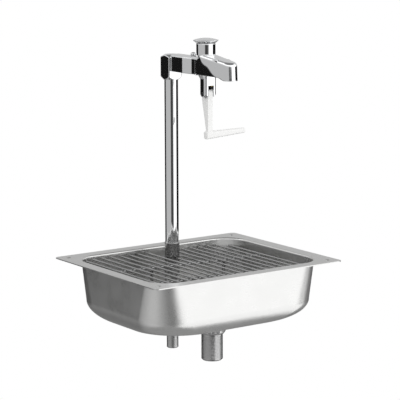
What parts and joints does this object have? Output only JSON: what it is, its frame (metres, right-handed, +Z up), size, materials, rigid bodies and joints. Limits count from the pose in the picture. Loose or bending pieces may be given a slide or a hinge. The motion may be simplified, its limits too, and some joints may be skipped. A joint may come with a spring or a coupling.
{
  "type": "glass filler faucet",
  "caption": "Glass filler tap on a post over a sunk stainless drip pan with a wire rack, waste and push-back lever.",
  "frame": {"origin": "centre of the drip pan's rim, in the plane of its top face", "axes": "+Z up along the post, the spout and the user's side towards -Y, the lever's push bar towards +X"},
  "size_m": [0.28, 0.229, 0.4026],
  "materials": {
    "brushed_stainless": "satin, drawn in one direction",
    "rack_wire": "electropolished wire",
    "polished_chrome": "mirror bright plating",
    "nickel_plated_tail": "dull plating over a cut thread",
    "bare_brass": "turned",
    "spring_wire": "drawn wire",
    "black_rubber": "moulded",
    "grey_rubber": "moulded",
    "white_moulding": "moulded, glossy"
  },
  "bodies": {
    "root": {"drip_pan": "brushed_stainless", "rack_rods": "rack_wire", "rack_cross_rods": "rack_wire", "rack_legs": "rack_wire", "rack_feet": "grey_rubber", "waste_body": "nickel_plated_tail", "waste_strainer": "brushed_stainless", "strainer_screw": "brushed_stainless", "waste_gasket": "black_rubber", "waste_under_gasket": "black_rubber", "waste_washer": "brushed_stainless", "waste_locknut": "nickel_plated_tail", "post_foot": "polished_chrome", "foot_gasket": "black_rubber", "foot_under_gasket": "black_rubber", "foot_washer": "brushed_stainless", "foot_locknut": "nickel_plated_tail", "supply_post": "polished_chrome", "post_seal": "black_rubber", "elbow_block": "polished_chrome", "union_nipple": "bare_brass", "union_seal": "black_rubber", "body_casting": "polished_chrome", "flow_screw": "polished_chrome", "flow_screw_seal": "black_rubber", "outlet_straightener": "white_moulding", "tower_cap": "polished_chrome", "cap_seal": "black_rubber", "return_spring": "spring_wire", "yoke": "polished_chrome", "stem_seal": "black_rubber", "seal_ring": "bare_brass", "pivot_pin": "spring_wire"},
    "lever": {"push_lever": "white_moulding"},
    "valve": {"valve_stem": "bare_brass", "stem_button": "spring_wire", "seat_washer": "black_rubber"}
  },
  "joints": [
    {"name": "lever_hinge", "type": "hinge", "parent": "root", "child": "lever", "pos_m": [0, -0.0228, 0.2088], "axis": [1, 0, 0], "range_deg": [0, 12], "stiffness_Nm_per_rad": 0.006, "springref_deg": -20.05},
    {"name": "valve_slide", "type": "slide", "parent": "root", "child": "valve", "axis": [0, 0, 1], "range_m": [0, 0.00163], "deforming": ["return_spring"]}
  ],
  "couplings": [
    {"joint": "lever_hinge", "follows": "valve_slide", "rad_per_m": 128.49}
  ]
}
